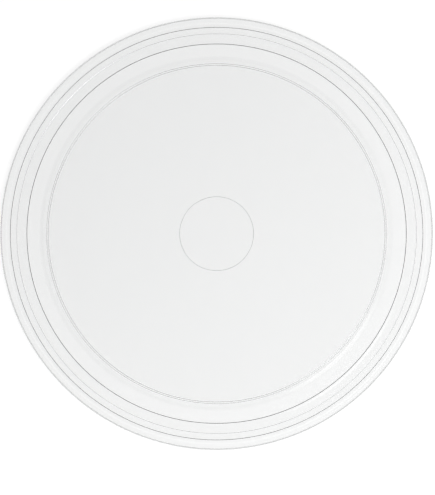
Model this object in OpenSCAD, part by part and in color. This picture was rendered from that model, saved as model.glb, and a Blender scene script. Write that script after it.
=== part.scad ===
// Glass turntable plate for a microwave oven, pressed in one piece.
// Millimetres. The axis of the plate is Z, and the foot ring stands on z = 0.
// The section is drawn once, as a list of corners with a blend radius each, and turned about the axis.
// Its food side is smooth, apart from the low lip. The sharper steps are all underneath.

/* [Plate] */
// Outside diameter
plate_d = 272; // [220:1:360]
// Height of the lip's top above the surface that the plate stands on
plate_h = 15; // [13:0.5:20]
// Thickness of the glass in the floor
floor_t = 5; // [3.5:0.1:6]
// Thickness of the glass in the sloping wall, square to its faces
wall_t = 4.3; // [3.5:0.1:6]
// Run of the sloping wall on the food side, from the floor out to the rim
wall_w = 11.3; // [8:0.1:20]
// Blend between the floor and the wall, on the food side
floor_blend = 10; // [2:0.5:16]
// Blend between the floor and the wall, on the underside
heel_blend = 3.5; // [1:0.5:12]

/* [Rim] */
// Width of the rim on the food side, from the wall out to the edge
rim_w = 15.5; // [12:0.1:30]
// Rise of the rim towards the outside, in degrees
rim_slope = 6; // [2:0.5:10]
// Blend between the wall and the rim, on the food side
rim_blend = 6; // [1:0.5:12]
// Width of the raised lip round the outside
lip_w = 4.1; // [3:0.1:8]
// Height of the step up onto the lip
lip_step = 0.4; // [0.2:0.1:1]
// Blend on the corners of the step up onto the lip
lip_blend = 1; // [0.2:0.1:2]
// Rounding of the outer edge, on the food side
edge_blend = 1; // [0.5:0.1:1.8]
// Rounding of the outer edge, on the underside
edge_under_blend = 2.8; // [0.5:0.1:3]

/* [Under the rim] */
// Width of the plain band round the outside
band_w = 6.3; // [5:0.1:10]
// Height of the step from the rib up onto the band
band_step = 0.7; // [0.3:0.1:1.4]
// Width of the rib
rib_w = 4; // [2.5:0.1:8]
// Depth of the rib below the channel
rib_drop = 0.6; // [0.3:0.1:1.4]
// Width of the channel between the rib and the wall
channel_w = 5.7; // [2.5:0.1:10]
// Height of the shoulder where the wall's underside steps up into the channel
shoulder_step = 0.7; // [0.3:0.1:1.4]

/* [Under the floor] */
// Height of the foot ring below the floor, which is also the depth of the roller track
foot_h = 1.2; // [0.6:0.1:2.5]
// Width of the foot ring at its crest
foot_w = 0.8; // [0.5:0.1:3]
// Distance from the foot of the wall in to the middle of the foot ring
foot_inset = 2.8; // [2:0.1:20]
// Diameter of the shallow round recess in the centre
recess_d = 46.5; // [20:0.5:90]
// Depth of the recess
recess_depth = 0.3; // [0.1:0.05:1]

/* [Pressing] */
// Draft of the steep faces underneath, in degrees from the axis
draft = 18; // [5:1:30]
// Blend on the corners of the shoulder
crisp_blend = 0.2; // [0.1:0.05:0.5]
// Blend on the corners of the foot ring, of the recess and of the band's step
small_blend = 0.3; // [0.1:0.05:0.5]
// Blend on the corners between the channel and the rib
soft_blend = 0.7; // [0.3:0.1:1.5]

/* [Hidden] */

glass = [0.93, 0.95, 0.95, 0.6];

// Turn of the section from one point of an arc to the next, in degrees
arc_step = 6;
// Facets round the plate
plate_facets = 180;
// Share of a face that one blend may take, so that the blends at its two ends never meet
blend_share = 0.48;

function land_rise(width) = width * tan(rim_slope);
function step_run(height) = height * tan(draft);

// Radii, from the outside in. The radius of a step is that of its middle
plate_r = plate_d / 2;
lip_r = plate_r - lip_w;
bend_r = plate_r - rim_w;
floor_r = bend_r - wall_w;
band_r = plate_r - band_w;
rib_r = band_r - rib_w;
shoulder_r = rib_r - channel_w;
foot_r = floor_r - foot_inset;
recess_r = recess_d / 2;

// Heights of the food side. The lip's corner stands higher than the lip, because the
// rounding of the sloping lip's edge takes its corner off
lip_corner_z = plate_h + edge_blend * (tan(rim_slope) + 1 / cos(rim_slope) - 1);
lip_in_z = lip_corner_z - land_rise(lip_w);
rim_out_z = lip_in_z - lip_step;
bend_z = rim_out_z - land_rise(rim_w - lip_w);
floor_z = foot_h + floor_t;

// The wall's underside is parallel to its food side, and meets the floor's underside at the heel
wall_rise = (bend_z - floor_z) / wall_w;
wall_drop = wall_t * norm([1, wall_rise]);
function wall_under_z(r) = floor_z + (r - floor_r) * wall_rise - wall_drop;
heel_r = floor_r + (foot_h - wall_under_z(floor_r)) / wall_rise;

// Heights under the rim, whose bands all rise with the rim
shoulder_z = wall_under_z(shoulder_r);
channel_in_z = shoulder_z + shoulder_step;
channel_out_z = channel_in_z + land_rise(channel_w);
rib_in_z = channel_out_z - rib_drop;
rib_out_z = rib_in_z + land_rise(rib_w);
band_in_z = rib_out_z + band_step;
band_out_z = band_in_z + land_rise(band_w);

// Foot ring and recess
foot_in_r = foot_r - foot_w / 2;
foot_out_r = foot_r + foot_w / 2;
recess_z = foot_h + recess_depth;

// Corners of the section as [radius, height, blend], out along the underside and back along the food side
section = [
  [0, recess_z, 0],
  [recess_r - step_run(recess_depth) / 2, recess_z, small_blend],
  [recess_r + step_run(recess_depth) / 2, foot_h, small_blend],
  [foot_in_r - step_run(foot_h), foot_h, small_blend],
  [foot_in_r, 0, small_blend],
  [foot_out_r, 0, small_blend],
  [foot_out_r + step_run(foot_h), foot_h, small_blend],
  [heel_r, foot_h, heel_blend],
  [shoulder_r - step_run(shoulder_step) / 2, shoulder_z, crisp_blend],
  [shoulder_r + step_run(shoulder_step) / 2, channel_in_z, crisp_blend],
  [rib_r - step_run(rib_drop) / 2, channel_out_z, soft_blend],
  [rib_r + step_run(rib_drop) / 2, rib_in_z, soft_blend],
  [band_r - step_run(band_step) / 2, rib_out_z, small_blend],
  [band_r + step_run(band_step) / 2, band_in_z, small_blend],
  [plate_r, band_out_z, edge_under_blend],
  [plate_r, lip_corner_z, edge_blend],
  [lip_r + step_run(lip_step) / 2, lip_in_z, lip_blend],
  [lip_r - step_run(lip_step) / 2, rim_out_z, lip_blend],
  [bend_r, bend_z, rim_blend],
  [floor_r, floor_z, floor_blend],
  [0, floor_z, 0]
];

function unit(v) = v / norm(v);
function flat(c) = [c.x, c.y];

// Angle by which the section turns at a corner, from the directions back and ahead along its two faces
function turn_at(back, ahead) = 180 - acos(max(-1, min(1, back * ahead)));

// Points of the arc that takes a corner's place, shortened where a face is too short for its blend
function blended(before, corner, after, blend) =
  blend == 0 ? [corner] :
  let (
    back = unit(before - corner),
    ahead = unit(after - corner),
    turn = turn_at(back, ahead),
    room = blend_share * min(norm(before - corner), norm(after - corner)),
    cut = min(blend * tan(turn / 2), room),
    radius = cut / tan(turn / 2),
    centre = corner + unit(back + ahead) * norm([radius, cut]),
    start = corner + back * cut - centre,
    side = sign(cross(corner - before, after - corner)),
    steps = ceil(turn / arc_step)
  )
  [for (i = [0 : steps])
    let (a = side * turn * i / steps)
    centre + [start.x * cos(a) - start.y * sin(a), start.x * sin(a) + start.y * cos(a)]];

// The whole section, with each corner blended into its neighbours' faces
function outline(corners) =
  let (n = len(corners))
  [for (i = [0 : n - 1])
    each blended(flat(corners[(i + n - 1) % n]), flat(corners[i]), flat(corners[(i + 1) % n]), corners[i].z)];

module plate() {
  color(glass)
    rotate_extrude($fn = plate_facets)
      polygon(outline(section));
}

plate();
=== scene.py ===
# %% [markdown]
# # A pressed glass turntable plate
#
# The object is the round glass plate that turns inside a microwave oven.
# It is one casting: a flat floor, a sloping wall, a level rim with a low lip, and a set of
# rings pressed into the underside. There is no second part and no decoration.
#
# A plate like this could be sculpted, or built from a stack of cylinders. It is a body of
# revolution, though, so the shortest true description is its section, half as wide as the plate,
# and one full turn of it. That is also how the mould for it is cut on a lathe.

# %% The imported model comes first, as the fixed frame that everything else is fitted to
import math

import bmesh
import bpy
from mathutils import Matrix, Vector


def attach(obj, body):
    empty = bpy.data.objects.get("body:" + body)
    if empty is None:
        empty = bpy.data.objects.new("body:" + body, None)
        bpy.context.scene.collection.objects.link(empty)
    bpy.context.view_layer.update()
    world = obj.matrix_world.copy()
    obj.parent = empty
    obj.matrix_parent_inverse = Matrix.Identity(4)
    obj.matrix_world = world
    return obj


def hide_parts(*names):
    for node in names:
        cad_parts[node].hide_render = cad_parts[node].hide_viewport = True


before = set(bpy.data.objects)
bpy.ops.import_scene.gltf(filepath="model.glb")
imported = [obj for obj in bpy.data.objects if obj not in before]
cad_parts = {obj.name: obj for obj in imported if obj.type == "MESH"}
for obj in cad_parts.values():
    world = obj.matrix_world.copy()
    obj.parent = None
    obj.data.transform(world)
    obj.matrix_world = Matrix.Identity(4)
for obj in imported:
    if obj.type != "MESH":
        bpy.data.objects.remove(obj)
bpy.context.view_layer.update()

# %% [markdown]
# ## Units and two small helpers
#
# The drawing of the plate is in millimetres and Blender works in metres, so every length below
# is written in millimetres and multiplied by MM.
#
# Colours are written as they would be picked from a paint chart, in sRGB hex. A shader wants
# linear light, so one function turns them. The other helper adds one node to a tree, with its
# settings and the links that come into it, which keeps each material readable from top to bottom.

# %% Millimetres, linear colours and one way to add a node
MM = 0.001


def linear(hex_colour):
    """The linear RGBA of an sRGB colour such as 'F2F4F3'."""
    parts = [int(hex_colour[i:i + 2], 16) / 255 for i in (0, 2, 4)]
    light = [p / 12.92 if p <= 0.04045 else ((p + 0.055) / 1.055) ** 2.4 for p in parts]
    return (*light, 1.0)


def add_node(tree, kind, settings=None, links=None):
    """Adds a node. A setting names one of its inputs or, failing that, one of its properties."""
    node = tree.nodes.new(kind)
    for name, value in (settings or {}).items():
        if not isinstance(name, int) and name not in node.inputs:
            setattr(node, name, value)
    for name, value in (settings or {}).items():
        if isinstance(name, int) or name in node.inputs:
            node.inputs[name].default_value = value
    for name, source in (links or {}).items():
        tree.links.new(source, node.inputs[name])
    return node


print("white card in linear light:", [round(c, 3) for c in linear("F2F4F3")])

# %% [markdown]
# ## The section, as the mould maker draws it
#
# The food side is plain, because a cook wipes it. It runs level across the floor, up the wall and
# out along the rim, which keeps rising a little so that spilt liquid runs back in.
#
# The sharper work is on the underside. The foot ring keeps the floor off the worktop and holds
# the roller wheels inside it. The shoulder, the channel, the rib and the band stiffen the rim, and
# they are what shows as rings when one looks down through the glass.
#
# The heights follow from each other, from the lip inwards, exactly as in the part's own drawing.

# %% Widths, heights and angles
PLATE_D, PLATE_H = 272.0, 15.0
FLOOR_T, WALL_T, WALL_W = 5.0, 4.3, 11.3
RIM_W, LIP_W, BAND_W, RIB_W, CHANNEL_W = 15.5, 4.1, 6.3, 4.0, 5.7
LIP_STEP, BAND_STEP, RIB_DROP, SHOULDER_STEP = 0.4, 0.7, 0.6, 0.7
FOOT_H, FOOT_W, FOOT_INSET = 1.2, 0.8, 2.8
RECESS_D, RECESS_DEPTH = 46.5, 0.3
RIM_SLOPE, DRAFT = math.tan(math.radians(6)), math.tan(math.radians(18))

plate_r = PLATE_D / 2
lip_r, bend_r, band_r = plate_r - LIP_W, plate_r - RIM_W, plate_r - BAND_W
rib_r = band_r - RIB_W
shoulder_r = rib_r - CHANNEL_W
floor_r = bend_r - WALL_W
foot_r = floor_r - FOOT_INSET
recess_r = RECESS_D / 2
print("ring radii in mm:", [round(r, 1) for r in (recess_r, foot_r, shoulder_r, rib_r, band_r)])

# %% [markdown]
# ## Blends
#
# Glass never leaves a mould with a knife edge. Each corner is a small arc, and the arcs matter
# more than the steps between them: seen from above, an arc that turns steeply under the glass
# sends the view sideways, and that is the thin grey line that marks a ring.
#
# A Bevel modifier would round them all alike. Here each corner has its own radius, so the section
# lists it beside the corner's radius and height.

# %% The corners of the section as (radius, height, blend), out underneath and back on top
EDGE_BLEND, EDGE_UNDER_BLEND, LIP_BLEND = 1.0, 2.8, 1.0
RIM_BLEND, FLOOR_BLEND, HEEL_BLEND = 6.0, 10.0, 3.5
CRISP_BLEND, SMALL_BLEND, SOFT_BLEND = 0.2, 0.3, 0.7

rim_lean = math.atan(RIM_SLOPE)
lip_corner_z = PLATE_H + EDGE_BLEND * (RIM_SLOPE + 1 / math.cos(rim_lean) - 1)
lip_in_z = lip_corner_z - LIP_W * RIM_SLOPE
rim_out_z = lip_in_z - LIP_STEP
bend_z = rim_out_z - (RIM_W - LIP_W) * RIM_SLOPE
floor_z, recess_z = FOOT_H + FLOOR_T, FOOT_H + RECESS_DEPTH

wall_rise = (bend_z - floor_z) / WALL_W
wall_drop = WALL_T * math.hypot(1, wall_rise)
shoulder_z = floor_z + (shoulder_r - floor_r) * wall_rise - wall_drop
heel_r = floor_r + (FOOT_H - floor_z + wall_drop) / wall_rise
channel_in_z = shoulder_z + SHOULDER_STEP
channel_out_z = channel_in_z + CHANNEL_W * RIM_SLOPE
rib_in_z = channel_out_z - RIB_DROP
rib_out_z = rib_in_z + RIB_W * RIM_SLOPE
band_in_z = rib_out_z + BAND_STEP
band_out_z = band_in_z + BAND_W * RIM_SLOPE


def half_run(step):
    """Half the width that a drafted step takes, seen from above."""
    return step * DRAFT / 2


CORNERS = [
    (0, recess_z, 0),
    (recess_r - half_run(RECESS_DEPTH), recess_z, SMALL_BLEND),
    (recess_r + half_run(RECESS_DEPTH), FOOT_H, SMALL_BLEND),
    (foot_r - FOOT_W / 2 - FOOT_H * DRAFT, FOOT_H, SMALL_BLEND),
    (foot_r - FOOT_W / 2, 0, SMALL_BLEND),
    (foot_r + FOOT_W / 2, 0, SMALL_BLEND),
    (foot_r + FOOT_W / 2 + FOOT_H * DRAFT, FOOT_H, SMALL_BLEND),
    (heel_r, FOOT_H, HEEL_BLEND),
    (shoulder_r - half_run(SHOULDER_STEP), shoulder_z, CRISP_BLEND),
    (shoulder_r + half_run(SHOULDER_STEP), channel_in_z, CRISP_BLEND),
    (rib_r - half_run(RIB_DROP), channel_out_z, SOFT_BLEND),
    (rib_r + half_run(RIB_DROP), rib_in_z, SOFT_BLEND),
    (band_r - half_run(BAND_STEP), rib_out_z, SMALL_BLEND),
    (band_r + half_run(BAND_STEP), band_in_z, SMALL_BLEND),
    (plate_r, band_out_z, EDGE_UNDER_BLEND),
    (plate_r, lip_corner_z, EDGE_BLEND),
    (lip_r + half_run(LIP_STEP), lip_in_z, LIP_BLEND),
    (lip_r - half_run(LIP_STEP), rim_out_z, LIP_BLEND),
    (bend_r, bend_z, RIM_BLEND),
    (floor_r, floor_z, FLOOR_BLEND),
    (0, floor_z, 0),
]
print(len(CORNERS), "corners; glass in the rim is", round(bend_z - channel_in_z, 2), "mm thick at the bend")

# %% [markdown]
# ## From corners to a smooth outline
#
# Each corner is replaced by points along its arc. Beside every point the outline keeps the way
# that the true surface faces there. Clear glass bends light by its facing, so a normal that is
# only averaged from neighbouring faces would turn each flat band into a weak lens. The ends of an
# arc therefore face exactly as the flat face they run into.

# %% Points of the outline, each with the direction its surface faces
ARC_STEP = math.radians(5)
BLEND_SHARE = 0.48


def blend_corner(before, corner, after, blend):
    """(point, facing) pairs of the arc that takes a corner's place."""
    if blend == 0:
        return [(corner, Vector((0, 1 if corner == after or before.x > corner.x else -1)))]
    back, ahead = (before - corner), (after - corner)
    room = BLEND_SHARE * min(back.length, ahead.length)
    back, ahead = back.normalized(), ahead.normalized()
    turn = math.pi - back.angle(ahead)
    cut = min(blend * math.tan(turn / 2), room)
    radius = cut / math.tan(turn / 2)
    centre = corner + (back + ahead).normalized() * math.hypot(radius, cut)
    side = 1 if (-back).cross(ahead) > 0 else -1
    start = corner + back * cut - centre
    steps = math.ceil(turn / ARC_STEP)
    arc = []
    for i in range(steps + 1):
        a = side * turn * i / steps
        spoke = Vector((start.x * math.cos(a) - start.y * math.sin(a),
                        start.x * math.sin(a) + start.y * math.cos(a)))
        arc.append((centre + spoke, spoke.normalized() * side))
    return arc


def outline(corners):
    """The whole outline from one end on the axis to the other."""
    flat = [Vector(c[:2]) for c in corners]
    pairs = [(flat[0], Vector((0, -1)))]
    for i in range(1, len(corners) - 1):
        pairs += blend_corner(flat[i - 1], flat[i], flat[i + 1], corners[i][2])
    return pairs + [(flat[-1], Vector((0, 1)))]


section = outline(CORNERS)
print(len(section), "points; highest", round(max(p.y for p, _ in section), 3), "mm")

# %% [markdown]
# ## The section as a mesh
#
# The outline is stored as a chain of vertices in the XZ plane, with the facing as an attribute.
# It is only a drawing at this point, with edges and no faces.

# %% A mesh line that carries the facing of each of its points
drawing = bpy.data.meshes.new("section_drawing")
drawing.from_pydata(
    [(p.x * MM, 0, p.y * MM) for p, _ in section],
    [(i, i + 1) for i in range(len(section) - 1)],
    [],
)
facing = drawing.attributes.new("facing", "FLOAT_VECTOR", "POINT")
for item, (_, out) in zip(facing.data, section):
    item.vector = (out.x, 0, out.y)
lathe = bpy.data.objects.new("lathe", drawing)
bpy.context.scene.collection.objects.link(lathe)
print("section drawing:", len(drawing.vertices), "vertices,", len(drawing.edges), "edges")

# %% [markdown]
# ## The glass
#
# Microwave plates are pressed soda-lime glass: a gob of melt is pushed into a mould by a plunger,
# and the skin is then fire-polished, so it is glossy on both sides but never quite flat. What
# that gives the eye is a clear, colourless body with a faint waviness in its reflections.
#
# - The body is a Principled BSDF with full transmission and the index of soda-lime glass, 1.52.
# - The iron that is left in the sand takes a little light on the way through. That is a Volume
#   Absorption of 1 to 2% over the floor's 5 mm, so that only long paths in the edge show it.
# - The ripple left by the chill of the mould is about 24 mm from crest to crest, and shallow.
# - The skin of the mould, sandblasted and worn smooth, leaves a fine orange peel under 1 mm
#   across. It is drawn at 1.6 mm, so that it is not finer than a pixel.
# - Wiping leaves streaks round the plate, where the polish is a touch duller.

# %% Pressed, fire-polished soda-lime glass
RIPPLE_MM, RIPPLE_DEPTH_MM = 24.0, 0.012
PEEL_MM, PEEL_DEPTH_MM = 1.6, 0.0006
SMEAR_MM, SMEAR_FROM, SMEAR_TO = 60.0, 0.55, 0.85
POLISH, DULLED = 0.0, 0.03

glass = bpy.data.materials.new("pressed_soda_lime_glass")
glass.use_nodes = True
tree = glass.node_tree
tree.nodes.clear()
place = add_node(tree, "ShaderNodeTexCoord").outputs["Object"]

ripple = add_node(tree, "ShaderNodeTexNoise",
                  {"Scale": 1 / (RIPPLE_MM * MM), "Detail": 1.0, "Roughness": 0.4}, {"Vector": place})
ripple_bump = add_node(tree, "ShaderNodeBump",
                       {"Strength": 1.0, "Distance": RIPPLE_DEPTH_MM * MM}, {"Height": ripple.outputs["Fac"]})
peel = add_node(tree, "ShaderNodeTexNoise",
                {"Scale": 1 / (PEEL_MM * MM), "Detail": 2.0, "Roughness": 0.6}, {"Vector": place})
peel_bump = add_node(tree, "ShaderNodeBump",
                     {"Strength": 1.0, "Distance": PEEL_DEPTH_MM * MM},
                     {"Height": peel.outputs["Fac"], "Normal": ripple_bump.outputs["Normal"]})

smears = add_node(tree, "ShaderNodeTexNoise",
                  {"Scale": 1 / (SMEAR_MM * MM), "Detail": 5.0, "Distortion": 1.5}, {"Vector": place})
dullness = add_node(tree, "ShaderNodeMapRange",
                    {"From Min": SMEAR_FROM, "From Max": SMEAR_TO, "To Min": POLISH, "To Max": DULLED},
                    {"Value": smears.outputs["Fac"]})
body = add_node(tree, "ShaderNodeBsdfPrincipled",
                {"Base Color": linear("FFFFFF"), "Transmission Weight": 1.0, "IOR": 1.52},
                {"Roughness": dullness.outputs["Result"], "Normal": peel_bump.outputs["Normal"]})
iron = add_node(tree, "ShaderNodeVolumeAbsorption", {"Color": linear("F3F7F6"), "Density": 30.0})
add_node(tree, "ShaderNodeOutputMaterial", links={"Surface": body.outputs["BSDF"], "Volume": iron.outputs["Volume"]})
print("glass nodes:", len(tree.nodes))

# %% [markdown]
# ## One full turn
#
# Turning a section is a rule, so it is a Geometry Nodes tree. A grid has one row of points for
# each point of the section and one column for each step round the axis. Every grid point then
# takes its radius and height from the section and its angle from its column. The last column
# falls on the first, and the ends of the section fall on the axis, so a weld closes both.
#
# The Screw modifier does the same job, but it would not carry the facing along with the points.

# %% The lathe tree
turning = bpy.data.node_groups.new("turn_section", "GeometryNodeTree")
for name, kind in (("Section", "Geometry"), ("Facets", "Int"), ("Weld", "Float"), ("Glass", "Material")):
    turning.interface.new_socket(name=name, in_out="INPUT", socket_type="NodeSocket" + kind)
turning.interface.new_socket(name="Plate", in_out="OUTPUT", socket_type="NodeSocketGeometry")
given = add_node(turning, "NodeGroupInput").outputs

count = add_node(turning, "GeometryNodeAttributeDomainSize",
                 links={"Geometry": given["Section"]}).outputs["Point Count"]
columns = add_node(turning, "ShaderNodeMath", {1: 1.0}, {0: given["Facets"]}).outputs[0]
grid = add_node(turning, "GeometryNodeMeshGrid", {"Size X": 1.0, "Size Y": 1.0},
                {"Vertices X": count, "Vertices Y": columns}).outputs["Mesh"]
spot = add_node(turning, "ShaderNodeSeparateXYZ",
                links={0: add_node(turning, "GeometryNodeInputPosition").outputs[0]}).outputs

# %% Which point of the section, and how far round
last = add_node(turning, "ShaderNodeMath", {"operation": "SUBTRACT", 1: 1.0}, {0: count}).outputs[0]
share = add_node(turning, "ShaderNodeMath", {"operation": "ADD", 1: 0.5}, {0: spot["X"]}).outputs[0]
row = add_node(turning, "ShaderNodeMath", {"operation": "MULTIPLY"}, {0: share, 1: last}).outputs[0]
point = add_node(turning, "ShaderNodeMath", {"operation": "ROUND"}, {0: row}).outputs[0]
angle = add_node(turning, "ShaderNodeMath", {"operation": "MULTIPLY_ADD", 1: math.tau, 2: math.pi},
                 {0: spot["Y"]}).outputs[0]
turned = []
for value in (add_node(turning, "GeometryNodeInputPosition").outputs[0],
              add_node(turning, "GeometryNodeInputNamedAttribute",
                       {"data_type": "FLOAT_VECTOR", "Name": "facing"}).outputs["Attribute"]):
    sample = add_node(turning, "GeometryNodeSampleIndex", {"data_type": "FLOAT_VECTOR"},
                      {"Geometry": given["Section"], "Value": value, "Index": point}).outputs[0]
    turned.append(add_node(turning, "ShaderNodeVectorRotate", {"rotation_type": "Z_AXIS"},
                           {"Vector": sample, "Angle": angle}).outputs[0])

# %% Keep the facing, place the points, weld and hand over
faced = add_node(turning, "GeometryNodeStoreNamedAttribute",
                 {"data_type": "FLOAT_VECTOR", "domain": "POINT", "Name": "facing"},
                 {"Geometry": grid, "Value": turned[1]}).outputs[0]
placed = add_node(turning, "GeometryNodeSetPosition", links={"Geometry": faced, "Position": turned[0]}).outputs[0]
welded = add_node(turning, "GeometryNodeMergeByDistance",
                  links={"Geometry": placed, "Distance": given["Weld"]}).outputs[0]
smooth = add_node(turning, "GeometryNodeSetShadeSmooth", links={"Geometry": welded}).outputs[0]
real = add_node(turning, "GeometryNodeRealizeInstances", links={"Geometry": smooth}).outputs[0]
clad = add_node(turning, "GeometryNodeSetMaterial", links={"Geometry": real, "Material": given["Glass"]}).outputs[0]
add_node(turning, "NodeGroupOutput", links={"Plate": clad})
print("lathe nodes:", len(turning.nodes))

# %% [markdown]
# ## Turn it, and keep a plain mesh
#
# The modifier's inputs are set by each socket's identifier before anything is evaluated. 288
# facets on a 272 mm circle leave its edge within 0.01 mm of round. The evaluated result is copied
# into a plain mesh, the stored facing becomes the mesh's own normals, and the lathe is put away.

# %% The turned plate
FACETS = 288
WELD_MM = 0.002
GLASS_KG_M3 = 2500

lathe_modifier = lathe.modifiers.new("turn", "NODES")
lathe_modifier.node_group = turning
sockets = {item.name: item.identifier for item in turning.interface.items_tree if item.in_out == "INPUT"}
for name, value in (("Facets", FACETS), ("Weld", WELD_MM * MM), ("Glass", glass)):
    lathe_modifier[sockets[name]] = value
evaluated = lathe.evaluated_get(bpy.context.evaluated_depsgraph_get())
mesh = bpy.data.meshes.new_from_object(evaluated)
lathe.modifiers.remove(lathe_modifier)
bpy.data.objects.remove(lathe)

mesh.name = "turntable_plate"
check = bmesh.new()
check.from_mesh(mesh)
if check.calc_volume(signed=True) < 0:
    bmesh.ops.reverse_faces(check, faces=check.faces)
    check.to_mesh(mesh)
volume = check.calc_volume(signed=True)
open_edges = sum(not e.is_manifold for e in check.edges)
check.free()
normals = [Vector(item.vector).normalized() for item in mesh.attributes["facing"].data]
mesh.normals_split_custom_set_from_vertices(normals)
mesh.attributes.remove(mesh.attributes["facing"])
triangles = sum(len(p.vertices) - 2 for p in mesh.polygons)
print(triangles, "triangles;", open_edges, "open edges")
print(round(volume * 1e6, 1), "cm3,", round(volume * GLASS_KG_M3, 3), "kg of glass")

# %% [markdown]
# ## The piece takes the CAD part's place
#
# The plate's mesh is already in the frame of the imported model, so it is not moved. It rides on the only body there
# is and takes the place of the CAD solid, which is hidden; its glass was set by the lathe.

# %% Fit it to the frame
plate = bpy.data.objects.new("turntable_plate", mesh)
bpy.context.scene.collection.objects.link(plate)
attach(plate, "root")
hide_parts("plate")
print("piece:", plate.name, [round(v * 1000, 2) for v in plate.dimensions], "mm")

# %% [markdown]
# ## A white table
#
# Glass shows what is behind it, so the table under the plate is half of the picture. It is a
# plain matt white sheet. Most of its light is its own, as on a light table: that share is seen by
# the camera, in reflections and through the glass, and it makes the background white without
# any more light on the plate. The rest is ordinary paint, which keeps the soft shadow.
#
# The glow is painted light: it rises a little from the upper left to the lower right, in place of a table lit more
# strongly from one side. Outside the plate both ends are white. Through the glass, which takes a tenth of the light,
# the difference shows as a slow change of tone.

# %% Matt white table with its own glow
TABLE_HALF_M, TABLE_GAP_MM = 4.0, 0.05
GLOW_LOW, GLOW_HIGH, GLOW_SPAN_M = 0.737, 0.907, 0.26
PAINT_SHARE = 0.24

white_table = bpy.data.materials.new("matt_white_table")
white_table.use_nodes = True
tree = white_table.node_tree
tree.nodes.clear()
rays = add_node(tree, "ShaderNodeLightPath").outputs
mirrored = add_node(tree, "ShaderNodeMath", {"operation": "MAXIMUM"},
                    {0: rays["Is Glossy Ray"], 1: rays["Is Transmission Ray"]}).outputs[0]
looked_at = add_node(tree, "ShaderNodeMath", {"operation": "MAXIMUM"},
                     {0: rays["Is Camera Ray"], 1: mirrored}).outputs[0]
across = add_node(tree, "ShaderNodeVectorMath",
                  {"operation": "DOT_PRODUCT", 1: (math.sqrt(0.5), -math.sqrt(0.5), 0)},
                  {0: add_node(tree, "ShaderNodeTexCoord").outputs["Object"]}).outputs["Value"]
# Painted light: the table's glow is made brighter towards the lower right, as if lit from that side.
painted_light_slope = add_node(tree, "ShaderNodeMapRange",
                  {"interpolation_type": "SMOOTHSTEP", "From Min": -GLOW_SPAN_M, "From Max": GLOW_SPAN_M,
                   "To Min": GLOW_LOW, "To Max": GLOW_HIGH}, {"Value": across}).outputs["Result"]
glow = add_node(tree, "ShaderNodeMath", {"operation": "MULTIPLY"}, {0: painted_light_slope, 1: looked_at}).outputs[0]
light = add_node(tree, "ShaderNodeEmission", {"Color": linear("FFFFFF")}, {"Strength": glow})
paint = add_node(tree, "ShaderNodeBsdfDiffuse", {"Color": (PAINT_SHARE, PAINT_SHARE, PAINT_SHARE, 1)})
both = add_node(tree, "ShaderNodeAddShader", links={0: light.outputs[0], 1: paint.outputs[0]})
add_node(tree, "ShaderNodeOutputMaterial", links={"Surface": both.outputs[0]})

sheet = bpy.data.meshes.new("white_table")
h, z = TABLE_HALF_M, -TABLE_GAP_MM * MM
sheet.from_pydata([(-h, -h, z), (h, -h, z), (h, h, z), (-h, h, z)], [], [(0, 1, 2, 3)])
sheet.materials.append(white_table)
table = bpy.data.objects.new("white_table", sheet)
bpy.context.scene.collection.objects.link(table)
print("table:", 2 * h, "m square,", TABLE_GAP_MM, "mm under the foot ring")

# %% [markdown]
# ## A soft white room
#
# The room is a dome. Low down it is the white of the table carried on, so that no horizon
# shows, and overhead it is grey, so that the glass has something darker to mirror. One soft
# lobe of light at the upper left gives the rim its highlight.
#
# A wide lamp almost straight above the plate does the rest. It is left out of reflections and out
# of what is seen through the glass, because it would draw its own outline there, and the camera
# looks past it.

# %% Dome with a soft lobe
HORIZON, CEILING = 0.8, 0.4
DOME_FROM, DOME_TO = 0.1, 0.85
LOBE_GAIN, LOBE_AZIMUTH, LOBE_HEIGHT, LOBE_OUTER, LOBE_INNER = 2.0, 135, 53, 18, 5


def toward(azimuth, height):
    """Unit vector towards a point of the dome, azimuth counted from +X towards +Y, in degrees."""
    a, h = math.radians(azimuth), math.radians(height)
    return Vector((math.cos(a) * math.cos(h), math.sin(a) * math.cos(h), math.sin(h)))


room = bpy.data.worlds.new("white_room")
bpy.context.scene.world = room
room.use_nodes = True
tree = room.node_tree
tree.nodes.clear()
outward = add_node(tree, "ShaderNodeTexCoord").outputs["Generated"]
height = add_node(tree, "ShaderNodeSeparateXYZ", links={0: outward}).outputs["Z"]
dome = add_node(tree, "ShaderNodeMapRange",
                {"interpolation_type": "SMOOTHSTEP", "From Min": DOME_FROM, "From Max": DOME_TO,
                 "To Min": HORIZON, "To Max": CEILING},
                {"Value": height}).outputs["Result"]
nearness = add_node(tree, "ShaderNodeVectorMath",
                    {"operation": "DOT_PRODUCT", 1: toward(LOBE_AZIMUTH, LOBE_HEIGHT)},
                    {0: outward}).outputs["Value"]
lobe = add_node(tree, "ShaderNodeMapRange",
                {"interpolation_type": "SMOOTHERSTEP", "From Min": math.cos(math.radians(LOBE_OUTER)),
                 "From Max": math.cos(math.radians(LOBE_INNER)), "To Min": 0.0, "To Max": LOBE_GAIN},
                {"Value": nearness}).outputs["Result"]
lit = add_node(tree, "ShaderNodeMath", {"operation": "ADD"}, {0: dome, 1: lobe}).outputs[0]
unseen = add_node(tree, "ShaderNodeMath", {"operation": "SUBTRACT", 0: 1.0},
                  {1: add_node(tree, "ShaderNodeLightPath").outputs["Is Camera Ray"]}).outputs[0]
strength = add_node(tree, "ShaderNodeMapRange", {"To Min": 1.0}, {"Value": unseen, "To Max": lit}).outputs["Result"]
background = add_node(tree, "ShaderNodeBackground", {"Color": linear("FFFFFF")}, {"Strength": strength})
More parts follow.
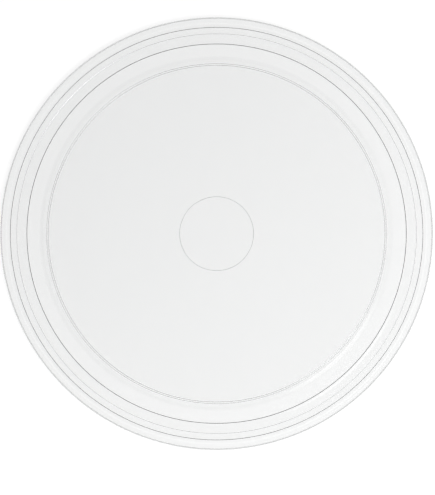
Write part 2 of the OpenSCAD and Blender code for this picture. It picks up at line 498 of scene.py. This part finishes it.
add_node(tree, "ShaderNodeOutputWorld", links={"Surface": background.outputs[0]})
print("dome from", HORIZON, "to", CEILING, "with a lobe of", LOBE_GAIN)

# %% Soft lamp
LAMP_SIZE_M, LAMP_AWAY_M, LAMP_W, LAMP_AZIMUTH, LAMP_HEIGHT = 1.2, 3.0, 62.0, -45, 84

lamp_data = bpy.data.lights.new("soft_lamp", "AREA")
lamp_data.shape, lamp_data.size, lamp_data.energy = "DISK", LAMP_SIZE_M, LAMP_W
lamp = bpy.data.objects.new("soft_lamp", lamp_data)
bpy.context.scene.collection.objects.link(lamp)
lamp.location = toward(LAMP_AZIMUTH, LAMP_HEIGHT) * LAMP_AWAY_M
lamp.rotation_euler = (-lamp.location).to_track_quat("-Z", "Y").to_euler()
lamp.visible_camera = lamp.visible_glossy = lamp.visible_transmission = False
print("lamp at", [round(v, 2) for v in lamp.location])

# %% [markdown]
# ## The camera
#
# The plate lies on the table and the camera looks straight down on it, which is how a plate
# standing on edge is seen from the front. A long lens from 6 m keeps the rings round and
# concentric. The picture is 435 by 495 pixels, and the plate's radius takes 216.6 of them.

# %% Camera straight above
PICTURE_W, PICTURE_H = 435, 495
PLATE_RADIUS_PX, PLATE_X_PX, PLATE_Y_PX = 216.6, 216.6, 233.65
CAMERA_AWAY_M, RIM_Z_M = 6.0, 0.012

metres_per_px = plate_r * MM / PLATE_RADIUS_PX
camera_data = bpy.data.cameras.new("camera")
camera_data.sensor_width = 36.0
camera_data.lens = camera_data.sensor_width * CAMERA_AWAY_M / (PICTURE_H * metres_per_px)
camera = bpy.data.objects.new("camera", camera_data)
bpy.context.scene.collection.objects.link(camera)
camera.location = ((PICTURE_W / 2 - PLATE_X_PX) * metres_per_px,
                   (PLATE_Y_PX - PICTURE_H / 2) * metres_per_px,
                   RIM_Z_M + CAMERA_AWAY_M)
bpy.context.scene.camera = camera
bpy.context.scene.view_settings.view_transform = "Standard"
print("lens", round(camera_data.lens, 1), "mm,", round(1000 * metres_per_px, 4), "mm to the pixel")
